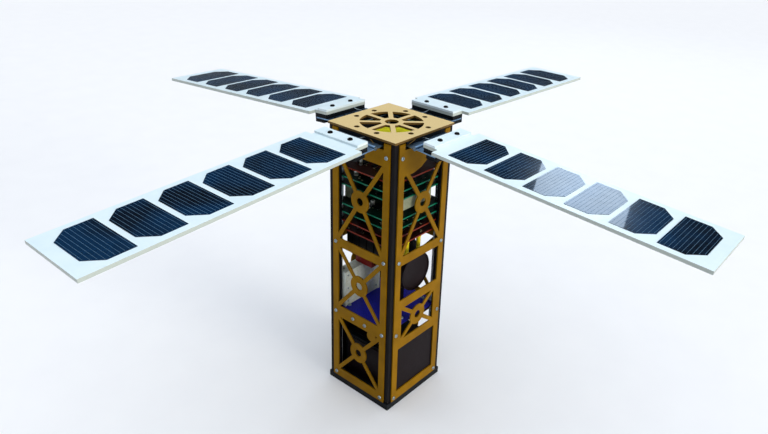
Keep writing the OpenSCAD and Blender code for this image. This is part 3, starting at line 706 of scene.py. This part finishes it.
# sizes in mm; parts stand near the boards' edges, where they can be seen
boardParts = {"seed": 11, "chipsPerBoard": 9, "chipFromMiddle": (20, 36), "chipAcross": 26, "pinPitch": 1.27,
              "chipSizes": ((5, 6), (7, 7), (10, 10), (4, 5), (8, 12)), "edgeChip": (4, 5), "edgeFrom": 33,
              "smallPerBoard": 46, "smallFromMiddle": (18, 41), "smallAcross": 30,
              "smallSizes": ((1.6, 0.8), (0.8, 1.6), (2.0, 1.25)), "overTop": 9}
stackingPlug = {"fromLeft": (24, 29), "reach": 26, "room": (5, 20), "without": 3}   # in mm; one gap has none
chance = random.Random(boardParts["seed"])
chips, pins, small, capacitors, plugs = (bmesh.new() for _ in range(5))
for index, z in enumerate(over):
    room = (under[index + 1] if index + 1 < len(under) else z + boardParts["overTop"] * mm) - z
    taken = []
    for _ in range(boardParts["chipsPerBoard"]):
        along = chance.choice((-1, 1)) * chance.uniform(*boardParts["chipFromMiddle"]) * mm
        across = chance.uniform(-boardParts["chipAcross"], boardParts["chipAcross"]) * mm
        x, y = (along, across) if chance.random() < 0.5 else (across, along)
        w, l = (chance.choice(boardParts["chipSizes"]) if abs(along) < boardParts["edgeFrom"] * mm
                else boardParts["edgeChip"])
        if any(abs(x - a) < (w + c) * 0.6 * mm and abs(y - b) < (l + d) * 0.6 * mm for a, b, c, d in taken):
            continue
        taken.append((x, y, w, l))
        tall = min(1.6 * mm, room * 0.5)
        addBox(chips, (x - w * mm / 2, y - l * mm / 2, z + 0.2 * mm), (x + w * mm / 2, y + l * mm / 2, z + tall))
        for k in range(int(l / boardParts["pinPitch"])):
            for s in (-1, 1):
                leg = y - l * mm / 2 + (k + 0.7) * boardParts["pinPitch"] * mm
                addBox(pins, (x + s * w * mm / 2 - 0.7 * mm, leg - 0.2 * mm, z),
                       (x + s * w * mm / 2 + 0.7 * mm, leg + 0.2 * mm, z + 0.35 * mm))
    for _ in range(boardParts["smallPerBoard"]):
        along = chance.choice((-1, 1)) * chance.uniform(*boardParts["smallFromMiddle"]) * mm
        across = chance.uniform(-boardParts["smallAcross"], boardParts["smallAcross"]) * mm
        x, y = (along, across) if chance.random() < 0.5 else (across, along)
        if any(abs(x - a) < (c * 0.5 + 1.6) * mm and abs(y - b) < (d * 0.5 + 1.6) * mm for a, b, c, d in taken):
            continue
        w, l = chance.choice(boardParts["smallSizes"])
        target = small if chance.random() < 0.7 else pins
        addBox(target, (x - w * mm / 2, y - l * mm / 2, z), (x + w * mm / 2, y + l * mm / 2, z + 0.7 * mm))
    if room > 8 * mm:
        for _ in range(3):
            x, y = chance.uniform(-26, 26) * mm, chance.choice((-1, 1)) * chance.uniform(26, 34) * mm
            r, tall = chance.choice((2.0, 2.6)) * mm, min(7 * mm, room - 2 * mm)
            addTurned(capacitors, [(r, z), (r, z + tall * 0.14), (r * 0.92, z + tall * 0.18), (r, z + tall * 0.22),
                                   (r, z + tall * 0.94), (r * 0.9, z + tall)],
                      Matrix.Translation((x, y, 0)), steps=18)
    least, most = (size * mm for size in stackingPlug["room"])
    if least < room < most and index + 1 < len(under) and index != stackingPlug["without"]:
        start, end = (size * mm - half for size in stackingPlug["fromLeft"])
        addBox(plugs, (start, -stackingPlug["reach"] * mm, z), (end, stackingPlug["reach"] * mm, z + room - 0.1 * mm))
makePiece("board_chips", chips, "blackEpoxyChip", "body", bevel=0.12 * mm, smooth=False)
makePiece("board_pins", pins, "tinnedPin", "body", smooth=False)
makePiece("board_small_parts", small, "glassEpoxyPale", "body", bevel=0.06 * mm, smooth=False)
makePiece("board_capacitors", capacitors, "tinnedPin", "body")
makePiece("stacking_plugs", plugs, "blackMouldedNylon", "body", bevel=0.2 * mm, smooth=False)
# across and deep in mm, hung under the stack
underPack = {"low": (-31.7, -38), "high": (30, -15), "drop": 22, "ribs": 5, "firstRib": 8, "ribPitch": 11.5}
bm = bmesh.new()
base = under[0] - 0.1 * mm
addBox(bm, (underPack["low"][0] * mm, underPack["low"][1] * mm, base - underPack["drop"] * mm),
       (underPack["high"][0] * mm, underPack["high"][1] * mm, base))
for k in range(underPack["ribs"]):   # along its front
    x = (underPack["low"][0] + underPack["firstRib"] + k * underPack["ribPitch"]) * mm
    addBox(bm, (x - 1 * mm, (underPack["low"][1] - 0.8) * mm, base - (underPack["drop"] - 2) * mm),
           (x + 1 * mm, (underPack["low"][1] + 0.5) * mm, base - 2 * mm))
makePiece("under_stack_pack", bm, "blackEpoxyChip", "body", bevel=0.4 * mm, smooth=False)
print("board parts made")


# middle bay: rim and bands of the drum, cylinder between the posts, lid and screws of the box, parts on the module
drumLow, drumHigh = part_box("drum")
drumMid, drumRadius = (drumLow + drumHigh) / 2, (drumHigh.z - drumLow.z) / 2
drumTrim = {"dish": 20.5 * mm, "bands": (6, 24)}   # bands in mm behind its face
ahead = Matrix.Translation((drumHigh.x - 1 * mm, drumMid.y, drumMid.z)) @ Matrix.Rotation(math.radians(90), 4, "Y")
bm = bmesh.new()
addTurned(bm, [(drumRadius - 1.7 * mm, 0), (drumRadius - 2.1 * mm, 0.25 * mm), (drumTrim["dish"], 0.25 * mm),
               (drumTrim["dish"] - 1 * mm, 0.05 * mm), (0, 0.05 * mm)], ahead, steps=96)
for back in drumTrim["bands"]:   # raised bands round its side
    band = ahead @ Matrix.Translation((0, 0, -back * mm))
    addTurned(bm, [(drumRadius - 0.3 * mm, 1.4 * mm), (drumRadius + 0.5 * mm, 1.1 * mm),
                   (drumRadius + 0.5 * mm, -1.1 * mm), (drumRadius - 0.3 * mm, -1.4 * mm)], band, steps=72)
makePiece("drum_trim", bm, "blackPowderCoat", "body")
postLow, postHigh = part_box("yellow_posts")
bm = bmesh.new()
x, y = (postLow.x + postHigh.x) / 2 - 1 * mm, (postLow.y + postHigh.y) / 2
addTurned(bm, [(3.4 * mm, postLow.z), (4.8 * mm, postLow.z + 1 * mm), (4.8 * mm, postHigh.z - 7 * mm),
               (3.6 * mm, postHigh.z - 6 * mm), (3.6 * mm, postHigh.z)], Matrix.Translation((x, y, 0)), steps=32)
makePiece("post_cylinder", bm, "blackEpoxyChip", "body")
bm = bmesh.new()
for y in (postLow.y + 2.6 * mm, postHigh.y - 2.6 * mm):   # collars on the posts
    for z in (postLow.z + 2 * mm, postHigh.z - 3 * mm):
        addTurned(bm, [(2.5 * mm, z - 1.6 * mm), (3.3 * mm, z - 1.3 * mm), (3.3 * mm, z + 1.3 * mm),
                       (2.5 * mm, z + 1.6 * mm)], Matrix.Translation((x + 1 * mm, y, 0)), steps=24)
makePiece("post_collars", bm, "yellowMouldedNylon", "body")

boxLow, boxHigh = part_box("aluminium_box")
boxLid = {"out": 0.9 * mm, "deep": 1.4 * mm, "over": 0.1 * mm, "lip": 2 * mm}
nearRod = -rodPlace + 3.6 * mm   # the lid stops short of the corner rod
outX, outY, inX = boxHigh.x + boxLid["out"], boxHigh.y + boxLid["out"], boxHigh.x - 0.2 * mm
lidLow, lidTop, lipTop = boxHigh.z - boxLid["deep"], boxHigh.z + boxLid["over"], boxHigh.z - boxLid["deep"] + 0.1 * mm
flanges = (
    ((boxLow.x - 0.4 * mm, nearRod + 0.6 * mm, lidLow), (outX, outY, lidTop)),
    ((nearRod + 0.4 * mm, boxLow.y - 0.5 * mm, lidLow), (outX, nearRod + 0.7 * mm, lidTop)),
    ((inX, boxLow.y, boxLow.z), (outX, boxLow.y + boxLid["lip"], lipTop)),
    ((inX, boxHigh.y - boxLid["lip"], boxLow.z), (outX, outY, lipTop)))
bm = bmesh.new()
for low, high in flanges:
    addBox(bm, low, high)
makePiece("box_flanges", bm, "satinAluminium", "body", bevel=0.25 * mm, smooth=False)
bm = bmesh.new()
for z in (boxLow.z + 6 * mm, (boxLow.z + boxHigh.z) / 2, boxHigh.z - 6 * mm):
    for y in (boxLow.y + 5 * mm, boxHigh.y - 5 * mm):
        addScrew(bm, Matrix.Translation((boxHigh.x, y, z)) @ Matrix.Rotation(math.radians(90), 4, "Y"), 0.5)
makePiece("box_screws", bm, "zincPlatedSteel", "body")

moduleLow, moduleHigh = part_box("red_module")
bm = bmesh.new()
addBox(bm, (moduleLow.x + 4 * mm, moduleHigh.y - 11 * mm, moduleHigh.z - 0.05 * mm),
       (moduleLow.x + 12 * mm, moduleHigh.y - 4 * mm, moduleHigh.z + 1.2 * mm))
addBox(bm, (moduleHigh.x - 0.05 * mm, moduleLow.y + 4 * mm, moduleLow.z + 3 * mm),
       (moduleHigh.x + 1.4 * mm, moduleHigh.y - 6 * mm, moduleHigh.z - 4 * mm))
makePiece("module_chips", bm, "blackEpoxyChip", "body", bevel=0.15 * mm, smooth=False)

deckScrews = [(-28, -37), (28, -37), (-28, 37), (28, 37), (37, -14), (37, 28)]   # across and deep in mm
bm = bmesh.new()
for x, y in deckScrews:
    addScrew(bm, Matrix.Translation((x * mm, y * mm, deckTop)), 1.05)
makePiece("deck_screws", bm, "zincPlatedSteel", "body")

packLow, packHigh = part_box("battery_box")
packPanels = {"inset": 4 * mm, "thick": 1.2 * mm, "screwsAcross": (-26, 26), "screwsUp": (17, 59)}
bm = bmesh.new()
for side in sides:   # flat covers on the pack's four sides
    reach = packHigh.x - packPanels["inset"]
    place = facing(side, 0, 0, packHigh.x)
    addBox(bm, (-reach, packLow.z + 3 * mm, -0.1 * mm), (reach, packHigh.z - 3 * mm, packPanels["thick"]), place)
addBox(bm, (-packHigh.x + 6 * mm, -packHigh.y + 6 * mm, packHigh.z - 0.1 * mm),
       (packHigh.x - 6 * mm, packHigh.y - 6 * mm, packHigh.z + 1.5 * mm))
makePiece("pack_covers", bm, "blackPowderCoat", "body", bevel=0.5 * mm, smooth=False)
bm = bmesh.new()
for side in sides:
    for x in packPanels["screwsAcross"]:
        for z in packPanels["screwsUp"]:
            addScrew(bm, facing(side, x * mm, z * mm, packHigh.x + packPanels["thick"]), 0.6)
makePiece("pack_screws", bm, "blackAnodisedAngle", "body")
print("bays fitted out")


# small bevels on the frame's edges, in mm
edgeWidths = {"top_plate": 0.25, "base_plate": 0.5, "corner_angles": 0.3, "aluminium_box": 0.3, "battery_box": 0.8,
              "red_module": 0.3}
edgeWidths.update({side + "_wing": 0.3 for side in sides})
edgeWidths.update({side + "_pad": 0.35 for side in sides})
for name, width in edgeWidths.items():
    roundEdges(nodes[name], width * mm)


# floor, camera and lights
bm = bmesh.new()
bmesh.ops.create_grid(bm, x_segments=4, y_segments=4, size=40.0)
mesh = bpy.data.meshes.new("paper_floor")
bm.to_mesh(mesh)
bm.free()
floor = bpy.data.objects.new("paper_floor", mesh)
floor.location.z = -0.0002
mesh.materials.append(finish["floor"])
bpy.context.scene.collection.objects.link(floor)

view = {"azimuth": 37.729, "elevation": 23.223, "roll": 3.111, "distance": 0.990505,
        "target": (-0.078019, 0.175629, 0.2), "lens": 31.994, "shiftX": -0.05966, "shiftY": -0.04908}
az, el, roll = (math.radians(view[k]) for k in ("azimuth", "elevation", "roll"))
backward = Vector((math.sin(az) * math.cos(el), -math.cos(az) * math.cos(el), math.sin(el)))
levelRight = (-backward).cross(Vector((0, 0, 1))).normalized()
levelUp = levelRight.cross(-backward)
right = levelRight * math.cos(roll) + levelUp * math.sin(roll)
up = levelUp * math.cos(roll) - levelRight * math.sin(roll)
camera = bpy.data.objects.new("camera", bpy.data.cameras.new("camera"))
camera.data.lens, camera.data.sensor_width = view["lens"], 36.0
camera.data.shift_x, camera.data.shift_y = view["shiftX"], view["shiftY"]
camera.data.clip_start, camera.data.clip_end = 0.01, 200.0
camera.matrix_world = Matrix.Translation(Vector(view["target"]) + backward * view["distance"]) @ Matrix(
    (right, up, backward)).transposed().to_4x4()
bpy.context.scene.collection.objects.link(camera)
bpy.context.scene.camera = camera

window = bpy.data.lights.new("window", "AREA")   # the soft panel that the right wing's glass mirrors
window.shape, window.size, window.energy, window.color = "SQUARE", 0.44, 4.6, toLinear("#c6dcf4")[:3]
lamps = [(window, (-0.58, 2.18, 1.48), (0.24, 0, 0.337))]
sideSun = bpy.data.lights.new("side", "SUN")   # broad light from the right
sideSun.energy, sideSun.angle, sideSun.color = 2.3, math.radians(28), toLinear("#fff8ea")[:3]
lamps.append((sideSun, (3, 0.2, 0.75), (0, 0, 0.2)))
for lamp, place, aim in lamps:
    item = bpy.data.objects.new(lamp.name, lamp)
    item.location = place
    item.rotation_euler = (Vector(aim) - Vector(place)).to_track_quat("-Z", "Y").to_euler()
    bpy.context.scene.collection.objects.link(item)
world = bpy.data.worlds.new("studio")   # a bright ceiling over dim walls, pale again at the horizon
world.use_nodes = True
tree = world.node_tree
studio = {"tint": "#f4f8ff", "horizon": 0.85, "walls": 0.03, "ceiling": 1.72}   # colour and brightness
outward = addNode(tree, "ShaderNodeTexCoord", out="Generated")
height = addNode(tree, "ShaderNodeSeparateXYZ", {"Vector": outward}, out="Z")
horizon = addNode(tree, "ShaderNodeMapRange", {0: height, 1: 0.04, 2: 0.16, 3: studio["horizon"], 4: studio["walls"]},
                  interpolation_type="SMOOTHSTEP")
ceiling = addNode(tree, "ShaderNodeMapRange", {0: height, 1: 0.52, 2: 0.8, 3: 0.0, 4: studio["ceiling"]},
                  interpolation_type="SMOOTHSTEP")
glow = addNode(tree, "ShaderNodeMath", {0: horizon, 1: ceiling}, operation="ADD")
tree.nodes["Background"].inputs["Color"].default_value = toLinear(studio["tint"])
tree.links.new(glow, tree.nodes["Background"].inputs["Strength"])
bpy.context.scene.world = world
bpy.context.scene.view_settings.view_transform = "Standard"   # plain sRGB colours
print("floor, camera and lights set")
